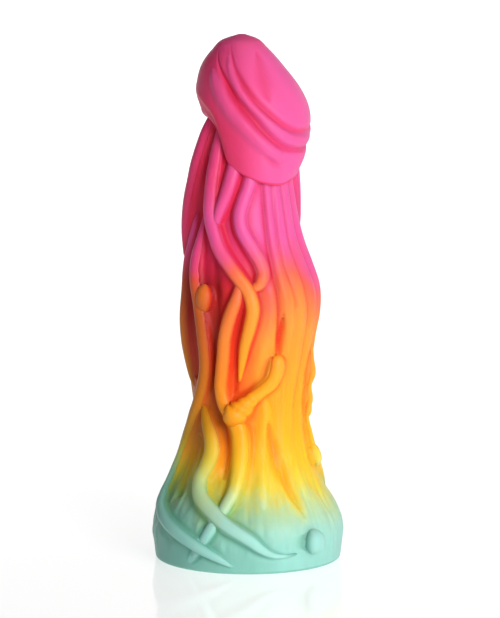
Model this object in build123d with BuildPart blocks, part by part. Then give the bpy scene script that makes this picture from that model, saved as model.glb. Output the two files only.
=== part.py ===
"""Cast silicone adult toy with a flared foot, a waisted column, a tilted cap and tentacle-like strands.

Millimetres, +Z up.  The origin is the centre of the underside and the front is -Y.  The real object is one
flexible casting; here each sculpted form is a solid of its own, trimmed to meet its neighbours face to face.
A place on the skin is an angle round the column (0 at the front, + towards +X) and a height above the floor.
"""
import os
from math import cos, radians, sin

from build123d import *

# Driving dimensions
CAP_TOP = 212.0
FOOT_BOTTOM_RADIUS = 37.2
FOOT_WIDEST_RADIUS = 38.5
FOOT_TOP_RADIUS = 36.0
FOOT_HEIGHT = 22.0
SUCTION_DISH_RADIUS = 30.0
SUCTION_DISH_DEPTH = 2.5
RIM_ROUND = 1.2
BRIM_ROUND = 2.4
STRAND_LIFT = 0.35  # how far a strand's centre stands off the skin, as a share of its half width
FLAT_RISE = 0.5  # a flat strand's height over its half width
SUNK_SHARE = 0.7  # how deep a strand's inner side lies, as a share of its half width
NODULE_SINK = 0.15  # how deep a nodule's centre lies, as a share of its half width
FOLD_RISE = 0.8  # a cap fold's height over its half width
FOLD_SINK = 0.25  # how deep a cap fold's centre lies, as a share of its half width
SLIVER_VOLUME = 6.0
CAP_ROOT_HEIGHT = 184.0  # the column runs up to here and is then trimmed to the cap's underside
CAP_REACH_HEIGHT = 150.0  # pieces that rise past this may meet the cap
FOOT_REACH_HEIGHT = 34.0  # pieces that come lower than this may meet the foot

# The skin under the strands: height, centre x, half width, half depth
SKIN = [
    (0, 0, FOOT_BOTTOM_RADIUS, FOOT_BOTTOM_RADIUS),
    (7, 0, 38.2, 38.2),
    (14, 0, FOOT_WIDEST_RADIUS, FOOT_WIDEST_RADIUS),
    (18.5, 0, 37.8, 37.8),
    (FOOT_HEIGHT, 0, FOOT_TOP_RADIUS, FOOT_TOP_RADIUS),
    (30, 0, 30.6, 30.2),
    (40, 0, 26, 25.2),
    (50, 0.2, 23.2, 22.3),
    (60, 0.5, 22.5, 21.4),
    (70, 0.5, 23, 21.6),
    (80, 0.5, 24.2, 22.4),
    (90, 0.6, 25.7, 23.6),
    (100, 1.3, 26.8, 24.6),
    (110, 1.4, 26.4, 24.4),
    (120, 0.4, 24.7, 23.2),
    (130, -0.4, 22.4, 21.4),
    (140, -0.8, 20.6, 20),
    (150, -0.8, 19.4, 19),
    (165, -0.8, 18.6, 18.2),
    (CAP_ROOT_HEIGHT, -1.5, 15, 15),
]

# The cap, from its brim to its crown: centre x, centre z, tilt towards +X in degrees, half width, half depth
CAP = [
    (2, 167.5, 28, 23, 20.8),
    (2, 173.5, 25, 24.2, 22.4),
    (1.8, 180, 20, 24, 22.6),
    (1.6, 187, 14, 22.9, 21.8),
    (0.6, 194, 9, 20.5, 19.8),
    (-0.6, 200.5, 5, 16.8, 16.4),
    (-1.6, 206, 2, 12.4, 12.2),
    (-1.8, 210, 0, 7.4, 7.4),
    (-1.8, CAP_TOP, 0, 2.2, 2.2),
]

# Strands, as angle, height and half width along each one.  The third figure falls away at a tip.
ROUND_STRANDS = {
    "front_left_strand": [
        (-40, 172, 2.6), (-41, 161, 3), (-39, 151, 3), (-38, 142, 3), (-32, 134.5, 3), (-26, 128, 3),
        (-17, 122.5, 2.9), (-7, 117, 2.9), (1, 111.5, 2.8), (5, 105, 2.6), (5, 97, 2.5), (3, 90, 2.3),
        (0, 83, 2), (-4, 76.5, 1.1),
    ],
    "brow_strand": [(-16, 165, 2.6), (-20, 157, 2.9), (-25, 149.5, 2.9), (-30, 143, 2.5), (-34, 136, 1.6)],
    "looped_strand": [
        (6, 160, 2.4), (1, 152, 2.6), (-6, 147, 2.6), (-11, 142, 2.6), (-10, 136.5, 2.6), (-4, 132, 2.6),
        (4, 127.5, 2.6), (11, 123, 2.6), (14, 118.5, 2.5), (11, 114.5, 2.3), (4, 112, 1.8),
    ],
    "left_shoulder_strand": [
        (-60, 172, 2.8), (-72, 164, 3.3), (-82, 156, 3.5), (-88, 149, 3.7), (-91, 142, 3.7), (-91, 135, 3.2),
        (-88, 127, 2),
    ],
    "left_long_strand": [
        (-50, 136, 1.6), (-53, 127, 2.5), (-54, 118, 2.8), (-50, 109, 2.6), (-44, 101, 2.5), (-41, 93, 2.5),
        (-40, 85, 2.5), (-43, 78, 2.6), (-49, 71, 2.8), (-57, 64.5, 3), (-67, 58, 3), (-78, 51, 3),
        (-86, 43.5, 3), (-89, 36, 3), (-88, 29, 2.8), (-80, 24, 2.8), (-69, 20.5, 2.8), (-57, 17.6, 2.8),
        (-46, 15.8, 2.8), (-36, 14.4, 2.8), (-27, 12.5, 2.6), (-20, 9.4, 2.1), (-13, 5.6, 1.4),
    ],
    "centre_strand": [
        (-11, 112, 2.2), (-14, 106.5, 2.8), (-19, 101, 3), (-22, 94, 3), (-23, 86.5, 3), (-25.5, 79, 3),
        (-28, 72.5, 3), (-25, 66.5, 3), (-18, 62, 3), (-11, 57, 3), (-8.5, 50.5, 2.9), (-8, 44, 2.8),
        (-8, 37.5, 2.7), (-11, 31, 2.5), (-16, 25.5, 2.4), (-21.5, 20, 2.2), (-27, 14, 2), (-33, 8, 1.7),
        (-38, 3.6, 1.2),
    ],
    "curling_strand": [
        (-53, 61, 1.5), (-46, 56, 2.4), (-39.5, 51.5, 2.8), (-37, 46, 2.9), (-40, 40.5, 2.9),
        (-42.5, 35, 2.9), (-38, 30.3, 2.9), (-30, 27, 2.9), (-22, 24, 2.9), (-14, 21, 2.9), (-6, 18.2, 2.8),
        (1.5, 15.4, 2.6), (8, 12, 2.3), (14.5, 9, 1.8), (22, 7.6, 1.2), (30, 7.4, 0.7),
    ],
    "knotted_strand": [
        (31, 84, 1.6), (32, 79, 2.4), (29, 74, 2.9), (21, 70.5, 2.9), (13, 67.5, 2.8), (5, 65, 3),
        (-3, 62.4, 3.5), (-11, 60.6, 3.9), (-18, 60.4, 3.4), (-24, 62.5, 2),
    ],
    "right_hip_strand": [
        (76, 86, 1.4), (78, 78, 2.2), (78, 69, 2.5), (80, 60, 2.5), (84, 51, 2.4), (92, 42, 2.4),
        (104, 34, 2.4), (118, 26.5, 2.4), (130, 19, 2.2), (139, 11.5, 1.8), (145, 5, 1.2),
    ],
    "back_right_strand": [
        (96, 172, 2.6), (100, 160, 3), (107, 149, 3), (117, 139, 3), (128, 129.5, 3), (136, 119.5, 3),
        (138, 108, 3), (134, 97, 2.9), (127, 87, 2.8), (123, 77, 2.8), (127, 67, 2.8), (136, 58, 2.8),
        (146, 49, 2.8), (153, 40, 2.8), (157, 31.5, 2.7), (164, 24.5, 2.7), (175, 18.5, 2.7), (188, 14, 2.5),
        (200, 10.5, 2), (210, 8.5, 1.3),
    ],
    "back_centre_strand": [
        (178, 170, 2.4), (173, 160, 2.9), (165, 149, 3), (161, 138, 3), (165, 127, 3), (174, 117, 3),
        (183, 107, 3), (188, 96, 3), (186, 85, 2.9), (179, 75, 2.9), (173, 65, 2.9), (174, 55, 2.9),
        (181, 46, 2.6), (189, 38, 2.1), (195, 31, 1.3),
    ],
    "back_left_strand": [
        (-122, 172, 2.6), (-125, 160, 3), (-132, 149.5, 3), (-141, 140, 3), (-147, 129.5, 3),
        (-145, 118.5, 3), (-138, 108, 3), (-130, 98, 2.9), (-126, 87.5, 2.8), (-129, 77, 2.8),
        (-137, 67.5, 2.8), (-142, 57.5, 2.8), (-139, 47.5, 2.8), (-131, 38.5, 2.8), (-122, 30.5, 2.7),
        (-115, 23.5, 2.4), (-107, 17.5, 2), (-98, 12.5, 1.4), (-91, 9.5, 0.9),
    ],
    "back_looped_strand": [
        (140, 128, 1.6), (150, 122, 2.4), (158, 114, 2.6), (160, 105, 2.6), (154, 96.5, 2.6),
        (146, 88.5, 2.6), (145, 79.5, 2.6), (151, 71.5, 2.4), (161, 66, 2), (169, 62.5, 1.3),
    ],
    "back_cross_strand": [
        (-98, 112, 1.5), (-105, 103, 2.4), (-113, 95, 2.7), (-121, 87, 2.7), (-130, 80, 2.7),
        (-141, 74, 2.7), (-152, 69, 2.7), (-162, 65, 2.4), (-171, 61.5, 1.5),
    ],
}
FLAT_STRANDS = {
    "broad_strap": [
        (13, 160, 3), (14, 149, 3.5), (14, 138, 3.6), (15, 127, 3.6), (17, 116, 3.6), (18, 105, 3.7),
        (17, 94, 3.7), (15, 84, 3.5), (11, 74, 3), (8, 66, 2.2),
    ],
    "waist_ridge": [
        (17, 69, 2.2), (20, 62, 3), (19, 54.5, 3.4), (15, 47, 3.6), (12, 39.5, 3.6), (11, 32, 3.2),
        (11, 25, 2.4),
    ],
    "right_strand_inner": [
        (25, 160, 2), (26, 148, 2.3), (28, 135, 2.4), (30, 122, 2.6), (33, 109, 2.7), (37, 97, 2.5),
        (38, 87, 1.8),
    ],
    "right_strand_middle": [
        (38, 162, 2.2), (39, 148, 2.5), (41, 134, 2.6), (44, 120, 2.8), (48, 107, 3), (51, 94, 3),
        (50, 81, 2.8), (46, 68, 2.8), (41, 55.5, 3), (42, 45, 3.2), (46, 36, 3.2), (50, 27.5, 2.6),
    ],
    "right_strand_outer": [
        (53, 164, 2.4), (55, 150, 2.7), (58, 136, 2.9), (62, 122, 3.1), (66, 108, 3.3), (68, 94, 3.1),
        (67, 81, 2.9), (63, 68, 2.9), (60, 55.5, 3), (62, 45, 3.2), (66, 36, 3.2), (70, 27.5, 2.6),
    ],
    "right_flank_strand": [
        (72, 166, 2.6), (74, 152, 2.9), (79, 138, 3.2), (84, 124, 3.5), (87, 110, 3.6), (88, 97, 3.2),
        (90, 85, 3), (96, 73, 3), (102, 61, 3), (104, 50, 3), (107, 40, 3.1), (112, 31, 2.6),
    ],
    "left_flank_strand": [
        (-70, 128, 2), (-74, 117, 2.8), (-77, 105, 3.1), (-79, 93, 3.1), (-80, 82, 2.8), (-79, 72, 2),
    ],
    "left_rear_strap": [
        (-104, 168, 2.6), (-106, 153, 3.1), (-108, 138, 3.3), (-107, 123, 3.4), (-104, 108, 3.3),
        (-101, 94, 3.2), (-101, 81, 3.1), (-106, 69, 3.1), (-112, 58, 3.2), (-110, 47.5, 3.2),
        (-104, 38, 3.1), (-99, 30, 2.4),
    ],
    "rear_strap": [
        (-158, 168, 2.6), (-160, 153, 3.1), (-164, 139, 3.2), (-168, 125, 3.4), (-166, 111, 3.4),
        (-160, 97, 3.2), (-157, 83, 3), (-160, 70, 3), (-164, 58, 3.1), (-163, 47, 3.2), (-158, 37, 3.1),
        (-154, 28, 2.4),
    ],
}

# Round nodules: angle, height, half width, half length up the skin
NODULES = {
    "left_nodule": (-39, 108.5, 2.8, 5.2),
    "foot_nodule": (42, 11.5, 3.6, 3.6),
    "right_hip_nodule": (87, 41.5, 3.6, 4.2),
    "right_waist_nodule": (84, 61, 2.6, 3.8),
    "rear_nodule": (148, 101, 2.8, 4.4),
    "rear_waist_nodule": (-150, 83, 2.6, 3.6),
    "rear_foot_nodule": (-128, 10.5, 3.4, 3.4),
}

# Raised folds across the cap: angle round it, level from brim 0 to crown 8, half width
CAP_FOLDS = {
    "cap_lower_fold": [
        (-62, 4.6, 1.2), (-48, 3.8, 2), (-36, 2.9, 2.4), (-22, 2, 2.6), (-6, 1.3, 2.6), (12, 0.75, 2.4),
        (30, 0.45, 2), (48, 0.4, 1.2),
    ],
    "cap_upper_fold": [
        (-52, 5.4, 1), (-38, 4.6, 1.6), (-24, 3.7, 2), (-10, 2.8, 2.1), (6, 2.1, 2.1), (24, 1.5, 2.1),
        (42, 1.2, 2.1), (60, 1.2, 2), (78, 1.6, 1.6), (94, 2.2, 1),
    ],
    "cap_rear_fold": [
        (108, 3.4, 1), (122, 2.8, 1.8), (138, 2.2, 2.2), (156, 1.8, 2.4), (176, 1.7, 2.4), (196, 2, 2.2),
        (214, 2.6, 1.8), (230, 3.4, 1),
    ],
}

# The pieces that lie over others: each of these is trimmed by what passes over it
LIES_UNDER = {
    "brow_strand": ["front_left_strand"],
    "left_shoulder_strand": ["front_left_strand"],
    "looped_strand": ["front_left_strand"],
    "broad_strap": ["looped_strand", "knotted_strand", "front_left_strand"],
    "right_strand_inner": ["broad_strap", "right_strand_middle"],
    "centre_strand": ["front_left_strand", "knotted_strand", "curling_strand", "left_long_strand"],
    "waist_ridge": ["knotted_strand", "broad_strap"],
    "curling_strand": ["left_long_strand"],
    "left_long_strand": ["left_nodule"],
    "right_hip_strand": ["right_waist_nodule", "right_hip_nodule"],
    "right_strand_outer": ["right_hip_strand"],
    "right_flank_strand": ["right_hip_strand", "back_right_strand", "right_waist_nodule"],
    "back_right_strand": ["right_hip_strand"],
    "rear_nodule": ["back_right_strand"],
    "back_looped_strand": ["back_right_strand", "rear_nodule", "back_centre_strand"],
    "back_left_strand": ["back_cross_strand"],
    "rear_strap": ["back_centre_strand", "back_cross_strand", "rear_waist_nodule"],
    "left_rear_strap": ["left_shoulder_strand", "back_cross_strand"],
}


def between(table, key, value):
    """The row of a table for a value of its first column, worked out between its two neighbours."""
    rows = [(key(i, row), row) for i, row in enumerate(table)]
    for (low, first), (high, second) in zip(rows, rows[1:]):
        if value <= high:
            share = max(0.0, (value - low) / (high - low))
            return [a + (b - a) * share for a, b in zip(first, second)]
    return list(rows[-1][1])


def skin_point(angle, height, lift):
    """A point standing off the column's or the foot's skin."""
    _, centre_x, half_width, half_depth = between(SKIN, lambda i, row: row[0], height)
    turn = radians(angle)
    return Vector(centre_x + (half_width + lift) * sin(turn), -(half_depth + lift) * cos(turn), height)


def cap_plane(row):
    """The plane of one of the cap's sections: its X runs along the half width."""
    centre_x, centre_z, tilt, _, _ = row
    turn = radians(tilt)
    return Plane(origin=(centre_x, 0, centre_z), x_dir=(cos(turn), 0, -sin(turn)), z_dir=(sin(turn), 0, cos(turn)))


def cap_point(angle, level, lift):
    """A point standing off the cap, at a level that counts its sections from the brim."""
    row = between(CAP, lambda i, row: i, level)
    turn = radians(angle)
    return cap_plane(row).from_local_coords(Vector((row[3] + lift) * sin(turn), -(row[4] + lift) * cos(turn), 0))


def tube_section(points, index, centre_line):
    """The plane across a route at one of its points, with its X pointing away from centre_line."""
    before = points[max(index - 1, 0)]
    after = points[min(index + 1, len(points) - 1)]
    along = (after - before).normalized()
    outward = points[index] - centre_line(points[index])
    outward = (outward - along * outward.dot(along)).normalized()
    return Plane(origin=points[index], x_dir=outward, z_dir=along)


def column_axis(point):
    """The point of the column's axis level with a point."""
    return Vector(0, 0, point.Z)


def cap_middle(point):
    """The middle of the cap, which its folds face away from."""
    return Vector(1, 0, 182)


# Foot: a round cushion with a shallow suction dish under it
with BuildPart() as foot:
    with BuildSketch(Plane.XZ):
        with BuildLine():
            Polyline((SUCTION_DISH_RADIUS, 0), (FOOT_BOTTOM_RADIUS - RIM_ROUND, 0))
            ThreePointArc(
                (FOOT_BOTTOM_RADIUS - RIM_ROUND, 0),
                (FOOT_BOTTOM_RADIUS - 0.3 * RIM_ROUND, 0.3 * RIM_ROUND),
                (FOOT_BOTTOM_RADIUS, RIM_ROUND),
            )
            ThreePointArc((FOOT_BOTTOM_RADIUS, RIM_ROUND), (38.1, 7), (FOOT_WIDEST_RADIUS, 13))
            ThreePointArc((FOOT_WIDEST_RADIUS, 13), (37.9, 18), (FOOT_TOP_RADIUS, FOOT_HEIGHT))
            Polyline((FOOT_TOP_RADIUS, FOOT_HEIGHT), (0, FOOT_HEIGHT), (0, SUCTION_DISH_DEPTH))
            ThreePointArc(
                (0, SUCTION_DISH_DEPTH), (SUCTION_DISH_RADIUS / 2, SUCTION_DISH_DEPTH * 0.76), (SUCTION_DISH_RADIUS, 0)
            )
        make_face()
    revolve(axis=Axis.Z)

# Cap: oval sections that lean over towards the brim
with BuildPart() as cap:
    for row in CAP:
        with BuildSketch(cap_plane(row)):
            Ellipse(row[3], row[4])
    loft()
    fillet(cap.faces().filter_by(GeomType.PLANE).sort_by(Axis.Z)[0].edges(), BRIM_ROUND)

# Column: oval sections from the foot up into the cap
with BuildPart() as column:
    for height, centre_x, half_width, half_depth in SKIN:
        if height >= FOOT_HEIGHT:
            with BuildSketch(Plane.XY.offset(height)):
                with Locations((centre_x, 0)):
                    Ellipse(half_width, half_depth)
    loft()
    add(cap.part, mode=Mode.SUBTRACT)

pieces = {"foot": foot.part, "column": column.part, "cap": cap.part}


def tube(points, half_widths, rise, centre_line):
    """A tapering tube through points: rise times its half width tall outside, SUNK_SHARE of it inside."""
    with BuildPart() as strand:
        for index, half_width in enumerate(half_widths):
            with BuildSketch(tube_section(points, index, centre_line)):
                with BuildLine():
                    ThreePointArc((0, -half_width), (rise * half_width, 0), (0, half_width))
                    ThreePointArc((0, half_width), (-SUNK_SHARE * half_width, 0), (0, -half_width))
                make_face()
        loft()
    return strand.part


def trimmed_by(part, bodies):
    """A piece without what it shares with other bodies: its stretches, less any sliver that a trim leaves."""
    with BuildPart() as trimmed:
        add(part)
        for body in bodies:
            add(body, mode=Mode.SUBTRACT)
    stretches = [solid for solid in trimmed.part.solids() if solid.volume > SLIVER_VOLUME]
    return Part(Compound(stretches).wrapped)


def bodies_reached(lowest, highest):
    """The column, with the cap or the foot where a piece on the skin comes near them."""
    bodies = [column.part]
    if highest > CAP_REACH_HEIGHT:
        bodies.append(cap.part)
    if lowest < FOOT_REACH_HEIGHT:
        bodies.append(foot.part)
    return bodies


def strand_on_column(route, rise, lift):
    """A strand that lies on the skin, its centre lift times its half width above it."""
    points = [skin_point(angle, height, lift * half_width) for angle, height, half_width in route]
    half_widths = [half_width for _, _, half_width in route]
    heights = [height for _, height, _ in route]
    strand = tube(points, half_widths, rise, column_axis)
    return trimmed_by(strand, bodies_reached(min(heights), max(heights)))


def nodule_on_column(angle, height, half_width, half_length):
    """A bead that sits more than half sunk in the skin, its length up the column."""
    centre = skin_point(angle, height, -NODULE_SINK * half_width)
    outward = (centre - column_axis(centre)).normalized()
    with BuildPart() as nodule:
        with BuildSketch(Plane(origin=centre, x_dir=outward, z_dir=outward.cross(Vector(0, 0, 1)))):
            with BuildLine():
                Line((0, -half_length), (0, half_length))
                Spline((0, half_length), (half_width, 0), (0, -half_length), tangents=[(1, 0), (-1, 0)])
            make_face()
        revolve(axis=Axis(centre, (0, 0, 1)))
    return trimmed_by(nodule.part, bodies_reached(height, height))


for name, route in ROUND_STRANDS.items():
    pieces[name] = strand_on_column(route, 1, STRAND_LIFT)
for name, route in FLAT_STRANDS.items():
    pieces[name] = strand_on_column(route, FLAT_RISE, 0)
for name, place in NODULES.items():
    pieces[name] = nodule_on_column(*place)
for name, route in CAP_FOLDS.items():
    points = [cap_point(angle, level, -FOLD_SINK * half_width) for angle, level, half_width in route]
    half_widths = [half_width for _, _, half_width in route]
    pieces[name] = trimmed_by(tube(points, half_widths, FOLD_RISE, cap_middle), [cap.part])

# Where one piece crosses another, the upper one stays whole
whole = dict(pieces)
for name, uppers in LIES_UNDER.items():
    pieces[name] = trimmed_by(whole[name], [whole[upper] for upper in uppers])

os.makedirs("parts", exist_ok=True)
for name, piece in pieces.items():
    piece.label = name
    export_step(piece, f"parts/{name}.step")
    print(f"{name:24} {piece.volume:10.1f} mm3")
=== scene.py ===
"""The looks of one cast silicone piece: flared foot, waisted column, tilted cap and strands in relief.

Tables are in millimetres and degrees, in the CAD's frame: +Z up, the front at -Y, the origin under the foot.
A place on the skin is an angle round the column (0 at the front, + towards +X) and a height above the floor.
Every sculpted form is a closed mesh of its own.  The skin of the column and foot rises in a fillet to meet
each strand, so that the forms read as one casting.
"""
from math import cos, radians, sin

import bpy
import numpy as np
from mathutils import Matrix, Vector


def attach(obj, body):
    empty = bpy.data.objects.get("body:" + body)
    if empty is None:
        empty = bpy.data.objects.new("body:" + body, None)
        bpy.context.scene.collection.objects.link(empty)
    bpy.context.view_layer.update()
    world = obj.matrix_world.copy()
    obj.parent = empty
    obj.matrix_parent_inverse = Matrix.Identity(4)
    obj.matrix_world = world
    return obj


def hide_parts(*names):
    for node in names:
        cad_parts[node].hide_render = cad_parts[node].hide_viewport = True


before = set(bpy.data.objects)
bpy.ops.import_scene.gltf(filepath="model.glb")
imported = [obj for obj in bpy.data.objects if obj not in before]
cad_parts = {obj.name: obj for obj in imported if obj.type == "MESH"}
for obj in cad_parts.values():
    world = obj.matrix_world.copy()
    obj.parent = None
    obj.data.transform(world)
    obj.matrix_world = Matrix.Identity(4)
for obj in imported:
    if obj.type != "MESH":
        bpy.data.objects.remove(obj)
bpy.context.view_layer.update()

MM = 0.001
BODY = "root"
SEED = 7
RIPPLE_ROWS = 400  # how many cells tall the noise is before it repeats

# The skin: height, centre x, half width, half depth
SKIN = [
    (-2, 0, 37, 37), (0, 0, 37.3, 37.3), (7, 0, 38.1, 38.1), (13, 0, 38.4, 38.4), (18, 0, 37.4, 37.4),
    (22, 0, 35.4, 35.4), (26, 0, 32.8, 32.6), (30, 0, 30.3, 30), (35, 0, 27.8, 27.3), (40, 0, 25.8, 25),
    (50, 0.2, 23.2, 22.3), (60, 0.5, 22.3, 21.3), (70, 0.5, 22.8, 21.5), (80, 0.5, 24, 22.3),
    (90, 0.6, 25.4, 23.5), (100, 1.3, 26.5, 24.4), (110, 1.4, 26.2, 24.3), (120, 0.4, 24.5, 23.1),
    (130, -0.4, 22.2, 21.3), (140, -0.8, 20.5, 19.6), (150, -0.8, 19, 17.9), (160, -0.8, 17.6, 16),
    (170, -0.9, 15.6, 14.2), (184, -1, 12, 12),
]
FOOT_TOP = 24.0
FOOT_EDGE = 1.2  # the height of the rounding at its lower edge
COLUMN_BOTTOM = 17.0
JOIN_HEIGHT = 21.0  # the foot's and the column's meshes change places here
COLUMN_TOP = 182.0
DISH_RADIUS = 30.0
DISH_DEPTH = 2.5
# Rows and columns of the meshes
COLUMN_TURN, COLUMN_RISE = 320, 288
FOOT_TURN, FOOT_RISE, DISH_RISE = 360, 54, 14
CAP_TURN, CAP_RISE = 300, 150
STRAND_STEP, STRAND_SIDES = 0.6, 22
OVERLAY_SIDES = 19

# Strands: angle, height and half width along each one
ROUND_STRANDS = {
    "front_left_strand": [
        (-38, 177, 1.8), (-40, 170, 2.6), (-42, 160, 3.1), (-43, 151, 3.2), (-41, 142, 3.2),
        (-34, 134.5, 3.2), (-27, 128, 3.1), (-18, 122.5, 3), (-9, 117, 2.9), (-2, 111.5, 2.9),
        (1, 105.5, 2.9), (-1, 98.5, 2.8),
        (-4, 91, 2.4), (-6.5, 83.5, 1.7), (-9.5, 75, 0.5),
    ],
    "brow_strand": [
        (-8, 172, 1.8), (-12, 165, 2.6), (-17, 157, 3), (-23, 149.5, 3), (-30, 142.5, 2.6), (-36, 135, 1.6),
    ],
    "looped_strand": [
        (11, 166, 1.8), (8, 160, 2.5), (2.5, 153, 2.8), (-3, 147.5, 2.9), (-6.5, 142, 2.9), (-5, 136.5, 2.9),
        (0.5, 132, 2.9), (6.5, 127.5, 2.9), (11, 123, 2.8), (12, 118.5, 2.7), (8, 115, 2.4), (1, 113, 1.8),
    ],
    "left_shoulder_strand": [
        (-66, 181, 2), (-71, 173, 3.1), (-78, 163, 3.8), (-84, 154, 4.2), (-88, 146, 4.3), (-91, 138, 4),
        (-92, 130, 3.2), (-91, 122, 1.6),
    ],
    "left_long_strand": [
        (-53, 141, 0.8), (-55, 132, 2), (-56, 123, 2.8), (-54, 114, 2.9), (-49, 105, 2.8), (-45, 96, 2.8),
        (-43, 87, 2.8), (-45, 79, 2.8), (-51, 71.5, 2.9), (-60, 64.5, 3), (-70, 58, 3), (-80, 51, 3),
        (-86, 43.5, 3), (-89, 36, 3), (-88, 29, 2.8), (-80, 24, 2.8), (-69, 20.5, 2.8), (-57, 17.6, 2.8),
        (-47, 15.2, 2.8), (-37, 12.6, 2.7), (-27, 9.6, 2.4), (-18, 6.6, 1.8), (-9, 3, 0.6),
    ],
    "centre_strand": [
        (-9, 116, 1.4), (-13, 109, 2.6), (-18, 102, 3), (-21.5, 94, 3), (-23, 86.5, 3), (-25.5, 79, 3),
        (-27.5, 72.5, 3), (-25, 66.5, 3.1), (-18, 62, 3.4), (-11, 57, 3.7), (-7.5, 50.5, 3.8), (-7, 44, 3.7),
        (-8, 37.5, 3.3), (-11, 31, 2.9), (-16, 25.5, 2.8), (-21.5, 20, 2.8), (-27, 14, 2.7), (-33, 8, 2.3),
        (-39, 3.2, 1.2),
    ],
    "curling_strand": [
        (-53, 64.5, 1.2), (-45, 58, 3), (-37.5, 52, 3.4), (-34, 46, 3.7), (-36.5, 40.5, 3.7),
        (-40, 35, 3.6), (-37, 29.9, 3.6), (-30, 26.2, 3.4), (-22, 23, 3.2), (-14, 19.7, 3), (-6, 16.9, 2.8),
        (1.5, 14, 2.6), (7.5, 10.9, 2.1), (14, 8.3, 1.5), (22, 7.3, 0.9), (31, 7.6, 0.4),
    ],
    "knotted_strand": [
        (25.5, 86, 2.8), (25.5, 81, 3.5), (21, 75.4, 3.3), (10, 71.2, 2.8), (1, 68, 3), (-6, 65, 4.2),
        (-11.5, 63, 4.9), (-16.5, 61.9, 4.8), (-21.5, 62.2, 3),
    ],
    "right_hip_strand": [
        (75, 88, 1), (77, 82, 2), (78, 76, 3), (78, 71, 2.2), (79, 65, 2.9), (81, 59, 1.6), (85, 51, 2.2),
        (92, 42, 2.4), (104, 34, 2.4), (118, 26.5, 2.4), (130, 19, 2.2), (139, 11.5, 1.8), (145, 5, 0.8),
    ],
    "back_right_strand": [
        (95, 178, 1.8), (96, 172, 2.6), (100, 160, 3), (107, 149, 3), (117, 139, 3), (128, 129.5, 3),
        (136, 119.5, 3), (138, 108, 3), (134, 97, 2.9), (127, 87, 2.8), (123, 77, 2.8), (127, 67, 2.8),
        (136, 58, 2.8), (146, 49, 2.8), (153, 40, 2.8), (157, 31.5, 2.7), (164, 24.5, 2.7), (175, 18.5, 2.7),
        (188, 14, 2.5), (200, 10.5, 1.9), (210, 8.5, 0.8),
    ],
    "back_centre_strand": [
        (179, 178, 1.8), (178, 170, 2.5), (173, 160, 2.9), (165, 149, 3), (161, 138, 3), (165, 127, 3),
        (174, 117, 3), (183, 107, 3), (188, 96, 3), (186, 85, 2.9), (179, 75, 2.9), (173, 65, 2.9),
        (174, 55, 2.9), (181, 46, 2.6), (189, 38, 2), (195, 31, 0.8),
    ],
    "back_left_strand": [
        (-121, 178, 1.8), (-122, 172, 2.6), (-125, 160, 3), (-132, 149.5, 3), (-141, 140, 3),
        (-147, 129.5, 3), (-145, 118.5, 3), (-138, 108, 3), (-130, 98, 2.9), (-126, 87.5, 2.8),
        (-129, 77, 2.8),
        (-137, 67.5, 2.8), (-142, 57.5, 2.8), (-139, 47.5, 2.8), (-131, 38.5, 2.8), (-122, 30.5, 2.7),
        (-116, 23.5, 2.4), (-110, 17.5, 1.8), (-104, 12.5, 0.8),
    ],
    "back_looped_strand": [
        (139, 129, 0.8), (149, 122, 2.3), (158, 114, 2.6), (160, 105, 2.6), (154, 96.5, 2.6),
        (146, 88.5, 2.6), (145, 79.5, 2.6), (151, 71.5, 2.4), (161, 66, 1.9), (169, 62.5, 0.8),
    ],
    "back_cross_strand": [
        (-97, 113, 0.8), (-105, 103, 2.3), (-113, 95, 2.7), (-121, 87, 2.7), (-130, 80, 2.7),
        (-141, 74, 2.7), (-152, 69, 2.7), (-162, 65, 2.3), (-171, 61.5, 1),
    ],
}
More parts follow.
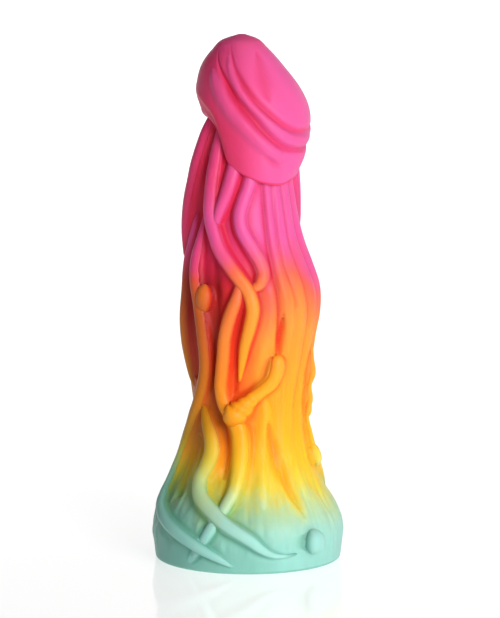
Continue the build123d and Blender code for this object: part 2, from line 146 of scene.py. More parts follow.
FLAT_STRANDS = {
    "broad_strap": [
        (10, 166, 3.6), (9.5, 149, 5), (10.5, 138, 5.2), (13.5, 127, 4.8), (16, 116, 4.2), (17, 105, 4),
        (16, 94, 4), (14, 84, 3.8), (11, 75, 3), (8, 67, 1.6),
    ],
    "waist_ridge": [
        (15, 70, 1.6), (18, 62, 3.4), (17, 54, 4), (14, 46, 4.2), (12, 38, 4), (11, 31, 3.2), (11, 25, 1.6),
    ],
    "right_strand_inner": [
        (25, 166, 2), (26, 148, 2.5), (28, 135, 2.6), (30, 122, 2.8), (33, 109, 2.9), (37, 97, 2.5),
        (38, 86, 1),
    ],
    "right_strand_middle": [
        (38, 166, 2.2), (39, 148, 2.7), (41, 134, 2.9), (44, 120, 3), (48, 107, 3.2), (51, 94, 3.2),
        (50, 81, 3), (46, 68, 3.4), (42, 55.5, 4.2), (43, 45, 4.6), (47, 36, 4.2), (50, 27, 2),
    ],
    "right_strand_outer": [
        (53, 168, 2.4), (55, 150, 2.9), (58, 136, 3.1), (62, 122, 3.3), (66, 108, 3.5), (68, 94, 3.3),
        (67, 81, 3), (64, 68, 3.2), (62, 55.5, 3.8), (64, 45, 4.2), (68, 36, 4), (71, 27, 2),
    ],
    "right_flank_strand": [
        (72, 170, 2.6), (74, 152, 3.1), (79, 138, 3.4), (84, 124, 3.7), (87, 110, 3.8), (88, 97, 3.4),
        (90, 85, 3.1), (96, 73, 3), (102, 61, 3), (104, 50, 3), (107, 40, 3.1), (112, 30, 1.6),
    ],
    "left_flank_strand": [
        (-72, 142, 1), (-76, 131, 2.8), (-79, 119, 3.5), (-79, 107, 3.6), (-79, 94, 3.5), (-80, 82, 3.1),
        (-79, 70, 1.4),
    ],
    "left_rear_strap": [
        (-104, 170, 2.6), (-106, 153, 3.1), (-108, 138, 3.3), (-107, 123, 3.4), (-104, 108, 3.3),
        (-101, 94, 3.2), (-101, 81, 3.1), (-106, 69, 3.1), (-112, 58, 3.2), (-110, 47.5, 3.2),
        (-104, 38, 3.1), (-99, 29, 1.4),
    ],
    "rear_strap": [
        (-158, 170, 2.6), (-160, 153, 3.1), (-164, 139, 3.2), (-168, 125, 3.4), (-166, 111, 3.4),
        (-160, 97, 3.2), (-157, 83, 3), (-160, 70, 3), (-164, 58, 3.1), (-163, 47, 3.2), (-158, 37, 3.1),
        (-154, 27, 1.4),
    ],
}
# How high a flat strand stands, over its half width
FLAT_HEIGHT = {
    "broad_strap": 0.2, "waist_ridge": 0.24, "right_strand_inner": 0.2, "right_strand_middle": 0.22,
    "right_strand_outer": 0.24, "right_flank_strand": 0.28, "left_flank_strand": 0.72,
    "left_rear_strap": 0.42, "rear_strap": 0.42,
}
# How far a strand sinks into the skin near an end: height, depth
SUNK_ENDS = {
    "centre_strand": [(0, 2.4), (8, 2.4), (14, 2.2), (21, 1.5), (28, 0.2), (34, 0), (130, 0)],
    "left_long_strand": [(0, 0.3), (8, 0.2), (20, 0.3), (40, 0), (120, 0), (145, 0.8)],
}
# How much higher than the skin beside it a form changes colour: height, distance
POUR_SHIFT = {
    "front_left_strand": [(106, 13), (120, 4.5)],
    "looped_strand": [(106, 8), (120, 2.8)],
    "left_long_strand": [(106, 9), (120, -4)],
    "centre_strand": [(14, 6), (24, 3), (34, 0)],
    "curling_strand": [(34, 2), (50, 8)],
    "left_nodule": [(108, 14)],
}
# Nodules: angle, height, half width, half length up the skin
NODULES = {
    "left_nodule": (-43.5, 108.5, 3.7, 5.2),
    "foot_nodule": (41.5, 12, 4.5, 3.8),
    "right_hip_nodule": (87, 41.5, 3.6, 4.2),
    "right_waist_nodule": (84, 61, 2.6, 3.8),
    "rear_nodule": (148, 101, 2.8, 4.4),
    "rear_waist_nodule": (-150, 83, 2.6, 3.6),
    "rear_foot_nodule": (-128, 10.5, 3.4, 3.4),
}
# How a round strand and a nodule stand off the skin: lift of the centre and rise of the top, then where the
# fillet starts, how far it reaches and how high it climbs, all over the half width
ROUND = {"lift": 0.3, "rise": 0.95, "core": 0.9, "reach": 0.6, "crest": 0.7}
BEAD = {"lift": 0.25, "rise": 0.95, "core": 0.93, "reach": 0.3, "crest": 0.5}
FLAT = {}

# Grooves pressed into the skin: depth, then angle, height and half width along each one
GROOVES = [
    (1.1, [(19, 158, 0.6), (20, 146, 1), (21, 134, 1.1), (22, 118, 1.2), (24, 104, 1.2), (25.5, 94, 1),
           (27, 84, 0.6)]),
    (2.5, [(28.6, 104, 0.3), (29.2, 96, 1.1), (29.4, 88, 0.9), (29, 82, 0.3)]),
    (1.0, [(-10, 106, 0.8), (-10, 98, 1.8), (-12, 88, 2.2), (-16, 78, 2.2), (-17, 70, 1.2)]),
    (1.2, [(-34, 132, 0.8), (-34, 118, 2), (-33, 104, 2), (-32, 90, 2.2), (-35, 78, 2.2), (-35, 66, 2),
           (-25, 55, 1.6), (-22, 45, 1.4), (-22, 36, 0.7)]),
    (1.6, [(-62, 165, 1), (-64, 145, 2.2), (-65, 125, 2.2), (-64, 104, 2.2), (-62, 88, 2.2), (-67, 74, 1.2)]),
    (1.1, [(-60, 52, 1), (-66, 42, 3), (-66, 33, 3), (-60, 27, 1.5)]),
    (1.6, [(19.5, 61, 0.1), (21.5, 54, 1.5), (26, 45, 2.8), (31.5, 37, 2.4), (36.5, 29, 1.4), (40, 21, 0.3)]),
    (0.5, [(34, 160, 0.6), (34, 140, 0.9), (36, 120, 0.9), (42, 104, 0.7)]),
    (0.5, [(47, 158, 0.6), (49, 136, 0.9), (53, 116, 0.9), (58, 98, 0.9), (57, 80, 0.8), (53, 62, 0.6)]),
    (0.5, [(65, 158, 0.6), (69, 134, 1), (75, 112, 1), (78, 92, 0.6)]),
]
KNOT_FOLD = 0.2  # how deep the knot's twisted folds are, over its half width
OVERLAY_REACH = 1.15  # how far a low form's mesh reaches, over its half width


def curves(table):
    """Reads a table's columns as smooth curves of its first one."""
    rows = np.array(table, float)
    at, values = rows[:, 0], rows[:, 1:]
    slopes = np.gradient(values, at, axis=0)

    def read(where):
        where = np.clip(np.asarray(where, float), at[0], at[-1])
        low = np.clip(np.searchsorted(at, where, side="right") - 1, 0, len(at) - 2)
        width = (at[low + 1] - at[low])[..., None]
        t = (where[..., None] - at[low][..., None]) / width
        start, end = values[low], values[low + 1]
        leave, arrive = slopes[low] * width, slopes[low + 1] * width
        ends = start * (1 - t) ** 2 * (1 + 2 * t) + end * t**2 * (3 - 2 * t)
        return ends + t * (1 - t) * ((1 - t) * leave - t * arrive)

    return read


def unit(vectors):
    """Vectors at length one."""
    return vectors / np.maximum(np.linalg.norm(vectors, axis=-1, keepdims=True), 1e-9)


skin_row = curves(SKIN)


def skin(angle, height):
    """Points on the bare skin."""
    angle, height = np.broadcast_arrays(np.radians(np.asarray(angle, float)), np.asarray(height, float))
    row = skin_row(height)
    return np.stack(
        [row[..., 0] + row[..., 1] * np.sin(angle), -row[..., 2] * np.cos(angle), height], axis=-1
    )


def skin_normal(angle, height):
    """Outward normals of the bare skin."""
    around = skin(np.asarray(angle) + 0.5, height) - skin(np.asarray(angle) - 0.5, height)
    upward = skin(angle, np.asarray(height) + 0.5) - skin(angle, np.asarray(height) - 0.5)
    return unit(np.cross(around, upward))


def ripple(angle, height, turns, tall, seed):
    """Smooth noise from -1 to 1 over the skin: so many cells in a turn, each so many millimetres tall."""
    lattice = np.random.default_rng(SEED + seed).uniform(-1, 1, (turns, RIPPLE_ROWS))
    x = (np.asarray(angle, float) / 360 % 1) * turns
    y = np.asarray(height, float) / tall + 40
    left, low = np.floor(x).astype(int), np.floor(y).astype(int)
    u, v = x - left, y - low
    u, v = u * u * (3 - 2 * u), v * v * (3 - 2 * v)
    left, right = left % turns, (left + 1) % turns
    low, high = low % RIPPLE_ROWS, (low + 1) % RIPPLE_ROWS
    bottom = lattice[left, low] * (1 - u) + lattice[right, low] * u
    top = lattice[left, high] * (1 - u) + lattice[right, high] * u
    return bottom * (1 - v) + top * v


def swell(value, low, high):
    """0 below low, 1 above high and smooth between."""
    t = np.clip((np.asarray(value, float) - low) / (high - low), 0, 1)
    return t * t * (3 - 2 * t)


def hump(value, foot, shoulder, brow, end):
    """0 below foot, 1 from shoulder to brow, 0 above end and smooth between."""
    return swell(value, foot, shoulder) * (1 - swell(value, brow, end))


def half_turn(angle):
    """An angle as one from -180 to 180."""
    return (np.asarray(angle, float) + 180) % 360 - 180


class Route:
    """A line on the skin with a half width along it, sampled every step millimetres."""

    def __init__(self, rows, surface=skin, step=STRAND_STEP, round_ends=None):
        rows = np.array(rows, float)
        length = np.linalg.norm(np.diff(surface(rows[:, 0], rows[:, 1]), axis=0), axis=1)
        at = np.concatenate([[0], np.cumsum(length)])
        self.along = np.linspace(0, at[-1], max(int(at[-1] / step), 8) + 1)
        self.angle, self.height, self.half = curves(np.column_stack([at, rows]))(self.along).T
        # Both ends taper to a rounded tip
        for end, distance in ((0, self.along), (-1, at[-1] - self.along)):
            share = np.clip(distance / (round_ends or rows[end, 2]), 0, 1)
            self.half = self.half * np.clip(1 - (1 - share) ** 2.4, 0.0016, 1) ** (1 / 2.2)
        self.feet = surface(self.angle, self.height)

    def nearest(self, points, margin=9):
        """For points on the skin: the distance to the route and its half width there, or a far distance."""
        flat = points.reshape(-1, 3)
        low, high = self.feet.min(axis=0) - margin, self.feet.max(axis=0) + margin
        near = np.flatnonzero(((flat > low) & (flat < high)).all(axis=1))
        distance = np.full(len(flat), 1e3)
        half = np.ones(len(flat))
        for chunk in np.array_split(near, max(len(near) // 4000, 1)):
            gaps = np.linalg.norm(flat[chunk, None, :] - self.feet[None], axis=2)
            best = gaps.argmin(axis=1)
            distance[chunk] = gaps[np.arange(len(chunk)), best]
            half[chunk] = self.half[best]
        return distance.reshape(points.shape[:-1]), half.reshape(points.shape[:-1])


def nodule_rows(angle, height, half_width, half_length):
    """A nodule as a short upright route."""
    return [(angle, height + side * half_length, half_width) for side in (-1, 0, 1)]


strands = {}
for name, rows in ROUND_STRANDS.items():
    strands[name] = (Route(rows), ROUND)
for name, rows in FLAT_STRANDS.items():
    strands[name] = (Route(rows, round_ends=6), FLAT)
for name, place in NODULES.items():
    strands[name] = (Route(nodule_rows(*place), step=0.3, round_ends=place[3]), BEAD)
grooves = [(depth, Route(rows, step=1)) for depth, rows in GROOVES]


def relief(angle, height):
    """How far the skin rises at places on it, and how much of the lit colour it takes there, the rest painted
    shade: 0 shaded, 1 lit.
    """
    points = skin(angle, height)
    turned = half_turn(angle)
    rise = np.full(points.shape[:-1], -1.0)
    moat, calm, shade, light, swelling = np.zeros((5, *points.shape[:-1]))
    # Painted shade, a deep red, on the skin between the strands at the left, further round the higher it is
    edge = -7 - 46 * swell(height, 108, 134)
    shade_between = swell(turned, -84, -68) * (1 - swell(turned - edge, -9, 9))
    shade_between = shade_between * hump(height, 38, 56, 150, 168)
    # Painted shade on the left side, less of it low down
    side_lit = side_light(angle, height)
    # Painted light towards the right side
    proud = (0.62 - 0.55 * shade_between + 0.22 * hump(turned, 4, 24, 90, 130)) * side_lit
    for name, (route, kind) in strands.items():
        distance, half = route.nearest(points)
        across = distance / half
        # A flat strand is a swelling of the skin itself, with painted light on it
        if kind is FLAT:
            bulge = np.clip(1 - (across / 1.35) ** 2, 0, 1) ** 2
            swelling = np.maximum(swelling, FLAT_HEIGHT[name] * half * bulge)
            proud = proud + (0.92 - proud) * bulge
            continue
        # The skin climbs to meet the others in a fillet, with a moat, a line of painted shade and calm skin
        # beside it
        share = np.clip((across - kind["core"]) / kind["reach"], 0, 1)
        fillet = kind["crest"] * half * (1 - share) ** 2
        rise = np.maximum(rise, fillet - sunk(name, route, points))
        moat = np.maximum(moat, 0.08 * half * np.exp(-(((across - 1.9) / 0.55) ** 2)) * swell(half, 0.5, 2))
        beside = np.exp(-(((across - 1.2) / 0.42) ** 2)) * swell(across, 0.8, 1.05)
        shade = np.maximum(shade, beside * swell(half, 0.5, 2))
        light = np.maximum(light, (1 - swell(across, 0.6, 0.95)) * swell(half, 0.3, 1))
        calm = np.maximum(calm, 1 - swell(across, 1.2, 2.4))
    proud = np.maximum(proud - 0.42 * shade, light * side_lit)
    rise = np.maximum(np.maximum(rise, 0), swelling) - moat * (1 - swell(rise, 0, 1.6))
    # Red painted shade in the grooves, less of it at the lower right
    groove_shade = 0.8 * (1 - 0.5 * (1 - swell(height, 40, 66)) * swell(turned, 0, 15))
    for depth, route in grooves:
        distance, half = route.nearest(points, 12)
        dent = np.exp(-((distance / np.maximum(half, 0.3)) ** 2)) * np.clip(half, 0, 1)
        dent = dent * (1 - swell(rise - swelling, 0.2, 1.2))
        rise = rise - depth * dent
        proud = proud - groove_shade * min(depth / 1.3, 1) * dent
    return rise + texture(angle, height) * (1 - 0.85 * calm), np.clip(proud, 0, 1)


def side_light(angle, height, full=0.8):
    """How much of the lit colour a side shows, the rest painted shade: less on the left, all of it where the
    sine reaches full.
    """
    share = 0.35 + 0.65 * swell(np.sin(np.radians(angle)), -1, full)
    return share + (1 - share) * 0.6 * (1 - swell(height, 18, 50))


def waist_shade(angle, height, low, high):
    """How much painted shade darkens the left of the waist, from low to high degrees round, 0 to 1."""
    return hump(-angle, low, high, 90, 120) * swell(height, 36, 54)


def sunk(name, route, points):
    """How far a strand sinks into the skin near its ends, at the height of each point."""
    if name not in SUNK_ENDS:
        return 0.0
    heights, depths = zip(*SUNK_ENDS[name])
    return np.interp(points[..., 2], heights, depths)


def texture(angle, height):
    """Soft sculpted unevenness: upright fibres on the column and short strokes on the flare and foot."""
    turned = half_turn(angle)
    fibres = ripple(angle, height, 96, 46, 1) * 0.3 + ripple(angle, height, 150, 22, 2) * 0.12
    fibres = fibres * swell(height, 48, 75) * (0.35 + 0.65 * swell(np.abs(turned - 58), 48, 26))
    strokes = ripple(angle, height, 110, 9, 3) * 0.42 + ripple(angle, height, 190, 6, 4) * 0.15
    strokes = strokes * hump(height, 5, 11, 42, 58)
    lumps = ripple(angle, height, 14, 16, 5) * 0.35 * swell(height, 24, 40)
    return fibres + strokes + lumps


def pour_height(angle, height):
    """The height whose colour a place takes: the pours run into each other unevenly."""
    angle = half_turn(angle)
    drift = ripple(angle, height, 9, 45, 6) * 3.5 + ripple(angle, height, 34, 26, 7) * 2.2
    # The red runs down on the strap at the front
    centre_run = np.exp(-(((angle - 16) / 7) ** 2)) * np.exp(-(((height - 102) / 16) ** 2)) * 7
    left = -7 * hump(-angle, 12, 55, 120, 170) * (1 - swell(height, 58, 92))
    # The orange runs down in the valley at the lower right
    valley = 8 * np.exp(-(((angle - 22 - 0.47 * (57 - height)) / 5.5) ** 2)) * hump(height, 17, 26, 44, 60)
    right = (6 + 5 * swell(height, 88, 104)) * hump(angle, 42, 70, 110, 150) * hump(height, 45, 70, 116, 130)
    return height + drift + centre_run + left + valley + right


def add_object(name, data):
    """A new object in the scene."""
    added = bpy.data.objects.new(name, data)
    bpy.context.scene.collection.objects.link(added)
    return added


def mesh_piece(name, grid, closed_ends, attributes, replaced, material):
    """A closed, smooth mesh from a grid of points whose columns go round; its ends close on a point each."""
    rows, columns = grid.shape[:2]
    first, last = closed_ends
    points = np.concatenate([grid.reshape(-1, 3), [first, last]]) * MM
    low, high = rows * columns, rows * columns + 1
    here = np.arange((rows - 1) * columns).reshape(rows - 1, columns)
    beside = np.roll(here, -1, axis=1)
    quads = np.stack([here, beside, beside + columns, here + columns], axis=-1).reshape(-1, 4)
    ring = np.arange(columns)
    after = np.roll(ring, -1)
    top = (rows - 1) * columns
    faces = quads.tolist()
    faces += np.stack([after, ring, np.full(columns, low)], axis=-1).tolist()
    faces += np.stack([ring + top, after + top, np.full(columns, high)], axis=-1).tolist()
    mesh = bpy.data.meshes.new(name)
    mesh.from_pydata(points.tolist(), [], faces)
    mesh.validate()
    mesh.shade_smooth()
    for key, values in attributes.items():
        flat = np.concatenate([values.reshape(-1), [values[0].mean(), values[-1].mean()]])
        mesh.attributes.new(key, "FLOAT", "POINT").data.foreach_set("value", flat.astype(np.float32))
    piece = add_object(name, mesh)
    mesh.materials.append(material)
    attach(piece, BODY)
    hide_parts(replaced)


# Colours of the pours: height, then sRGB, lit on raised forms, and with painted shade in the depths between
# them
LIT_COLOURS = [
    (0, (154, 210, 200)), (11, (158, 213, 202)), (17, (170, 217, 200)), (22, (187, 219, 182)),
    (27, (206, 219, 148)), (33, (231, 207, 74)), (41, (247, 193, 42)), (54, (249, 178, 30)),
    (68, (249, 169, 32)), (84, (249, 160, 46)), (97, (249, 153, 58)), (108, (246, 132, 66)),
    (116, (243, 106, 82)), (123, (236, 92, 140)), (130, (230, 91, 159)), (212, (228, 91, 155)),
]
SHADED_COLOURS = [
    (0, (92, 162, 144)), (16, (98, 166, 138)), (23, (136, 178, 98)), (31, (200, 184, 54)),
    (40, (238, 160, 34)), (52, (240, 130, 28)), (66, (234, 98, 26)), (84, (228, 64, 29)),
    (100, (214, 48, 34)), (114, (204, 34, 44)), (125, (213, 36, 76)), (212, (214, 38, 80)),
]
TALL = 212.0  # the ramps' top height
# How widely the runs between pours swing: height, grey from 0 to 255
RUN_SWING = [(0, 0), (14, 90), (28, 170), (46, 90), (100, 60), (116, 130), (132, 40)]


def linear(colour):
    """sRGB from 0 to 255 as linear RGBA."""
    share = [c / 255 for c in colour]
    return [c / 12.92 if c <= 0.04045 else ((c + 0.055) / 1.055) ** 2.4 for c in share] + [1]


def ramp(nodes, stops):
    """A colour ramp over the object's height."""
    node = nodes.new("ShaderNodeValToRGB")
    elements = node.color_ramp.elements
    while len(elements) < len(stops):
        elements.new(1)
    for element, (height, colour) in zip(elements, stops):
        element.position = height / TALL
        element.color = linear(colour)
    return node


def maths(tree, operation, first, second=None, third=None):
    """A Math node; each input is a socket or a number."""
    node = tree.nodes.new("ShaderNodeMath")
    node.operation = operation
    for index, value in enumerate((first, second, third)):
        if value is None:
            continue
        if isinstance(value, (int, float)):
            node.inputs[index].default_value = value
        else:
            tree.links.new(value, node.inputs[index])
    return node.outputs[0]


def noise(tree, vector, scale, stretch, detail):
    """A Noise texture over the object's own coordinates, stretched upright."""
    mapping = tree.nodes.new("ShaderNodeMapping")
    mapping.inputs["Scale"].default_value = (scale, scale, scale / stretch)
    tree.links.new(vector, mapping.inputs["Vector"])
    node = tree.nodes.new("ShaderNodeTexNoise")
    node.inputs["Scale"].default_value = 1
    node.inputs["Detail"].default_value = detail
    tree.links.new(mapping.outputs[0], node.inputs["Vector"])
    return node.outputs["Fac"]


def attribute(tree, name):
    """What a mesh's attribute says at each place."""
    node = tree.nodes.new("ShaderNodeAttribute")
    node.attribute_name = name
    return node.outputs["Fac"]


def silicone(name, roughness, streaks):
    """Poured silicone, coloured by the pour and by painted light and shade that follow how proud a form is,
    with ragged runs between pours.
    """
    material = bpy.data.materials.new(name)
    material.use_nodes = True
    tree = material.node_tree
    nodes, links = tree.nodes, tree.links
    shader = nodes["Principled BSDF"]
    place = nodes.new("ShaderNodeTexCoord").outputs["Object"]
    pour, proud, dim = attribute(tree, "pour"), attribute(tree, "proud"), attribute(tree, "dim")
    # Ragged upright runs, widest where aqua meets yellow
    runs = noise(tree, place, 420, 7, 3)
    fine = noise(tree, place, 1100, 9, 2)
    swing = ramp(nodes, [(at, (grey, grey, grey)) for at, grey in RUN_SWING])
    links.new(maths(tree, "DIVIDE", pour, TALL), swing.inputs["Fac"])
    ragged = maths(tree, "ADD", maths(tree, "MULTIPLY", runs, 1.3), maths(tree, "MULTIPLY", fine, 0.7))
    ragged = maths(tree, "SUBTRACT", ragged, 1.0)
    ragged = maths(tree, "MULTIPLY", ragged, swing.outputs["Color"])
    height = maths(tree, "MULTIPLY_ADD", ragged, streaks, pour)
    share = maths(tree, "DIVIDE", height, TALL)
    # The lit colours and the painted-shade colours, mixed by how much painted light a place takes
    lit_ramp, shaded_ramp = ramp(nodes, LIT_COLOURS), ramp(nodes, SHADED_COLOURS)
    mix = nodes.new("ShaderNodeMix")
    mix.data_type = "RGBA"
    links.new(share, lit_ramp.inputs["Fac"])
    links.new(share, shaded_ramp.inputs["Fac"])
    links.new(proud, mix.inputs["Factor"])
    links.new(shaded_ramp.outputs["Color"], mix.inputs[6])
    links.new(lit_ramp.outputs["Color"], mix.inputs[7])
    # A faint cloudiness of the pigment, and painted shade on the left side
    cloud = nodes.new("ShaderNodeHueSaturation")
    clouds = maths(tree, "MULTIPLY_ADD", noise(tree, place, 160, 3, 2), 0.14, 0.93)
    keep = maths(tree, "MULTIPLY_ADD", dim, -0.38, 1.0)
    links.new(maths(tree, "MULTIPLY", clouds, keep), cloud.inputs["Value"])
    links.new(mix.outputs[2], cloud.inputs["Color"])
    links.new(cloud.outputs["Color"], shader.inputs["Base Color"])
    patches = maths(tree, "MULTIPLY_ADD", noise(tree, place, 700, 2, 3), 0.12, roughness - 0.06)
    links.new(patches, shader.inputs["Roughness"])
    shader.inputs["Subsurface Weight"].default_value = 0.35
    shader.inputs["Subsurface Radius"].default_value = (1.0, 0.45, 0.3)
    shader.inputs["Subsurface Scale"].default_value = 0.0035
    shader.inputs["Specular IOR Level"].default_value = 0.17
    bump = nodes.new("ShaderNodeBump")
    bump.inputs["Strength"].default_value = 0.25
    bump.inputs["Distance"].default_value = 0.0004
    links.new(noise(tree, place, 900, 3, 4), bump.inputs["Height"])
    links.new(bump.outputs[0], shader.inputs["Normal"])
    return material


SKIN_SILICONE = silicone("skin_silicone", 0.42, 16)
STRAND_SILICONE = silicone("strand_silicone", 0.38, 9)
CAP_SILICONE = silicone("cap_silicone", 0.4, 0)


def tuck(beyond):
    """How far the foot's or the column's mesh draws in under the other, so far beyond their join."""
    return 0.03 * np.clip(beyond + 0.5, 0, None) ** 2


def make_column():
    """The waisted core, from inside the foot up into the cap."""
    turn = np.arange(COLUMN_TURN) * 360 / COLUMN_TURN
    heights = np.linspace(COLUMN_BOTTOM, COLUMN_TOP, COLUMN_RISE)
    angle, height = np.meshgrid(turn, heights)
    grid, attributes = sculpted_skin(angle, height)
    grid = grid - skin_normal(angle, height) * tuck(JOIN_HEIGHT - height)[..., None]
    ends = [(0, 0, heights[0] + 1), (-1, 0, heights[-1])]
    mesh_piece("column_skin", grid, ends, attributes, "column", SKIN_SILICONE)


def make_foot():
    """The round cushion, with its rounded lower edge and the shallow dish under it."""
    turn = np.arange(FOOT_TURN) * 360 / FOOT_TURN
    angle, height = np.meshgrid(turn, np.linspace(FOOT_EDGE, FOOT_TOP, FOOT_RISE))
    rise, proud = relief(angle, height)
    offset = rise * swell(height, 1, 4) - tuck(height - JOIN_HEIGHT)
    wall = skin(angle, height) + skin_normal(angle, height) * offset[..., None]
    # Under it, from the middle outwards: radius and height
    dish = np.linspace(3, DISH_RADIUS, DISH_RISE)
    profile = [(radius, DISH_DEPTH * (1 - (radius / DISH_RADIUS) ** 2)) for radius in dish]
    profile += [(DISH_RADIUS + 0.8, 0.03), (DISH_RADIUS + 3, 0), (DISH_RADIUS + 5.4, 0)]
    edge = skin_row(np.array(FOOT_EDGE))[1]
    for bend in np.radians([0, 15, 30, 45, 60, 75]):
        profile.append((edge - 1.1 * (1 - sin(bend)), FOOT_EDGE * (1 - cos(bend))))
    turned = np.radians(turn)
    under = [
        np.stack([radius * np.sin(turned), -radius * np.cos(turned), np.full(FOOT_TURN, lift)], axis=-1)
        for radius, lift in profile
    ]
    grid = np.concatenate([np.array(under), wall])
    # The underside takes half of the painted shade
    extra = np.ones((len(under), FOOT_TURN))
    attributes = {
        "pour": np.concatenate([extra * 0, pour_height(angle, height)]),
        "proud": np.concatenate([extra * 0.5, proud]),
    }
    ends = [(0, 0, DISH_DEPTH), (0, 0, FOOT_TOP)]
    mesh_piece("foot_skin", grid, ends, attributes, "foot", SKIN_SILICONE)


def make_strand(name, route, kind):
    """A tapering tube that lies on the skin."""
    normal = skin_normal(route.angle, route.height)
    lift = kind["lift"] * route.half - sunk(name, route, route.feet)
    share = route.along / route.along[-1]
    # The knot lies over the centre strand, in twisted folds
    if name == "knotted_strand":
        lift = lift + 0.26 * route.half * swell(share, 0.55, 0.75)
    centre = route.feet + normal * lift[:, None]
    tangent = unit(np.gradient(centre, axis=0))
    normal = unit(normal - tangent * (normal * tangent).sum(axis=1, keepdims=True))
    across = np.cross(tangent, normal)
    turn = np.arange(STRAND_SIDES) * 2 * np.pi / STRAND_SIDES
    around, along = np.meshgrid(turn, route.along)
    uneven = 1 + 0.04 * ripple(np.degrees(around), along, 5, 7, len(name))
    if name == "knotted_strand":
        wrapped = hump(share, 0.52, 0.7, 0.95, 1.0)[:, None]
        uneven = uneven + KNOT_FOLD * wrapped * (np.sqrt(np.sin(0.9 * along - around) ** 2 + 0.03) - 0.7)
    wide = route.half[:, None] * uneven
    tall = kind["rise"] * wide
    ring = across[:, None] * (np.sin(around) * wide)[..., None]
    ring = ring + normal[:, None] * (np.cos(around) * tall)[..., None]
    grid = centre[:, None] + ring
    # Painted shade on the strand's left side
    side_lit = side_light(route.angle, route.height, 0.35)
    # Painted light on the strands at the height of the shoulder, except at the far left
    shoulder = hump(route.height, 100, 122, 140, 156) * (1 - swell(-route.angle, 46, 64))
    side_lit = (side_lit + (1 - side_lit) * 0.55 * shoulder) * swell(route.half, 0.3, 1)
    # Painted light along the tube's top and painted shade down its sides
    proud = swell(np.cos(around), 0.05, 0.85) * side_lit[:, None]
    shift = np.interp(route.height, *zip(*POUR_SHIFT.get(name, [(0, 8 if kind is BEAD else 0)])))
    pour = (pour_height(route.angle, route.height) - shift)[:, None] + 0 * around
    # Painted shade on the left of the waist
    dim = waist_shade(route.angle, route.height, 30, 44) * (1 - swell(route.height, 100, 118))
    dim = dim[:, None] + 0 * around
    ends = [centre[0] - tangent[0] * 0.05, centre[-1] + tangent[-1] * 0.05]
    attributes = {"pour": pour, "proud": proud, "dim": dim}
    mesh_piece(name + "_form", grid, ends, attributes, name, STRAND_SILICONE)


def make_overlay(name, route, bare, sculpted, material):
    """A low form: a closed lens whose outer face is the sculpted surface itself, so that no edge shows."""
    across_share = np.linspace(-OVERLAY_REACH, OVERLAY_REACH, OVERLAY_SIDES)
    turn_step, rise_step = 0.5, 0.1
    by_angle = (bare(route.angle + turn_step, route.height) - route.feet) / turn_step
    by_height = (bare(route.angle, route.height + rise_step) - route.feet) / rise_step
    tangent = unit(np.gradient(route.feet, axis=0))
    normal = unit(np.cross(by_angle, by_height))
    across = np.cross(tangent, normal)
    # The change in angle and height that moves a point one millimetre across
    aa, ab, bb = ((by_angle**2).sum(1), (by_angle * by_height).sum(1), (by_height**2).sum(1))
    ca, cb = (across * by_angle).sum(1), (across * by_height).sum(1)
    determinant = aa * bb - ab**2
    turn_rate, rise_rate = (ca * bb - cb * ab) / determinant, (cb * aa - ca * ab) / determinant
    reach = route.half[:, None] * across_share[None]
    angle = route.angle[:, None] + turn_rate[:, None] * reach
    height = route.height[:, None] + rise_rate[:, None] * reach
    top, attributes = sculpted(angle, height)
    # Its rim and its tips dip into the surface
    outward = normal[:, None] * np.ones((1, len(across_share), 1))
    edge = np.abs(across_share / OVERLAY_REACH)[None]
    end = np.minimum(route.half / route.half.max() * 2, 1)[:, None]
    top = top + outward * ((0.05 - 0.4 * edge**6) * end - 0.3 * (1 - end))[..., None]
    under = top - outward * (1.4 * (1 - edge**2) * end + 0.05)[..., None]
    grid = np.concatenate([top, under[:, -2:0:-1]], axis=1)
    attributes = {key: np.concatenate([v, v[:, -2:0:-1]], axis=1) for key, v in attributes.items()}
    ends = [grid[0].mean(axis=0) - tangent[0] * 0.02, grid[-1].mean(axis=0) + tangent[-1] * 0.02]
    mesh_piece(name + "_form", grid, ends, attributes, name, material)


def sculpted_skin(angle, height):
    """Points on the sculpted skin and its attributes."""
    rise, proud = relief(angle, height)
    points = skin(angle, height) + skin_normal(angle, height) * rise[..., None]
    # Painted shade on the left of the waist
    dim = waist_shade(half_turn(angle), height, 19, 31) * (1 - swell(height, 112, 126))
    return points, {"pour": pour_height(angle, height), "proud": proud, "dim": dim}


# The cap, from its brim to its crown: level, centre x, centre y, centre z, tilt to the right, tilt to the
# front, half width, half depth
CAP = [
    (0, 1.7, -0.6, 169.5, 30, 22, 21.9, 21.6),
    (1, 1.9, -0.3, 174.8, 27, 20, 23.6, 22.6),
    (2, 1.8, 0, 180.6, 21, 16, 24, 22.8),
    (3, 1.6, 0, 187, 14, 11, 22.9, 21.8),
    (4, 0, 0, 194, 9, 7, 19.8, 19.6),
    (5, -2, 0, 200.5, 5, 4, 15.4, 16),
    (6, -3, 0, 205.8, 2, 2, 11, 12),
    (7, -3.2, 0, 209.8, 0, 0, 7.4, 7.8),
    (8, -2.4, 0, 212, 0, 0, 1.2, 1.2),
]
cap_row = curves(CAP)
# How far the brim hangs below its plane (-) or lifts above it (+), by angle
BRIM_HANG = curves([
    (-180, 0), (-130, -1), (-108, 0.2), (-93, 2), (-82, 4.2), (-73, 5.6), (-60, 5.8), (-53, 5.6), (-47, 4.2),
    (-42, 1.8), (-38, -1), (-34, -3.4), (-30, -4.5), (-25, -4.9), (-18, -4.6), (0, -3.9), (20, -2.8),
    (38, -1.6), (60, 0.4), (90, 1.0), (130, 0), (180, 0),
])
